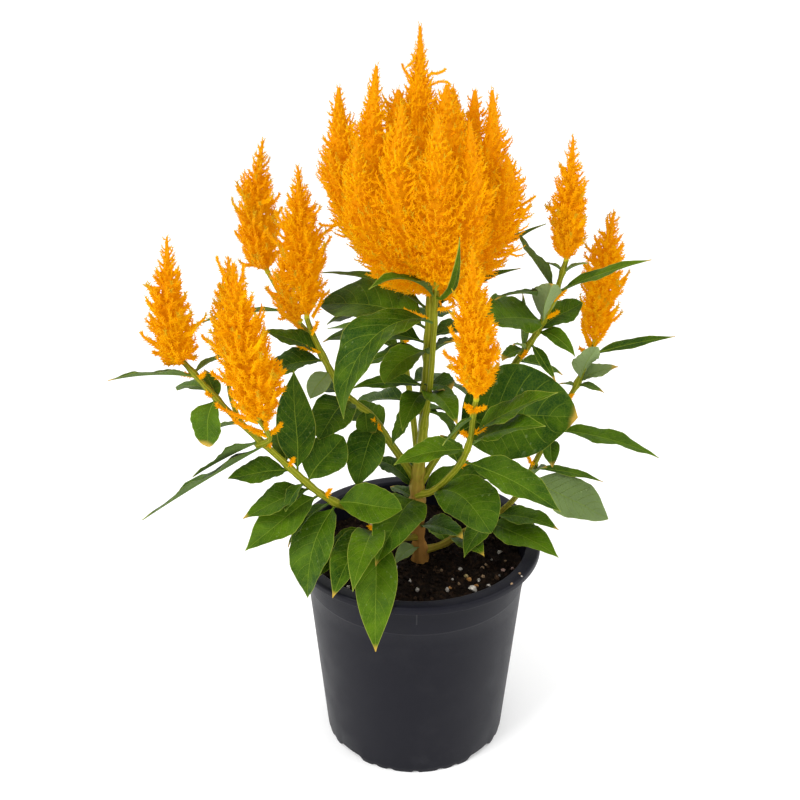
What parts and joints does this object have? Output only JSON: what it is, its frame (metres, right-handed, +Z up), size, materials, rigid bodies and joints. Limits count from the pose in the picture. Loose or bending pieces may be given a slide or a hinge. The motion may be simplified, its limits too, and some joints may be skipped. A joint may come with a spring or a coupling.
{
  "type": "potted plume celosia",
  "caption": "Plume celosia in its nursery pot: leafy stems branch from one trunk and each ends in a feathery, spire-shaped flower plume.",
  "frame": {"origin": "centre of the pot's footprint, on the surface that it stands on", "axes": "+Z up along the pot's axis; the plant's front, where its lowest leaf hangs over the rim, faces -Y; +X to the right of someone who faces that front"},
  "size_m": [0.3453, 0.1935, 0.477],
  "materials": {
    "pot_plastic": "semi-matte black",
    "potting_mix": "damp and crumbly",
    "foliage": "satin green, stems yellow-green",
    "florets": "matte golden orange"
  },
  "bodies": {
    "root": {"pot": "pot_plastic", "soil": "potting_mix", "main_stem": "foliage", "branch_left": "foliage", "branch_rear_left": "foliage", "branch_front": "foliage", "branch_right": "foliage", "branch_far_right": "foliage", "branch_rear": "foliage", "plume_main": "florets", "plume_left": "florets", "plume_left_rear": "florets", "plume_left_fore": "florets", "plume_rear_left_side": "florets", "plume_rear_left": "florets", "plume_front": "florets", "plume_right": "florets", "plume_far_right": "florets", "plume_rear": "florets"}
  },
  "joints": []
}
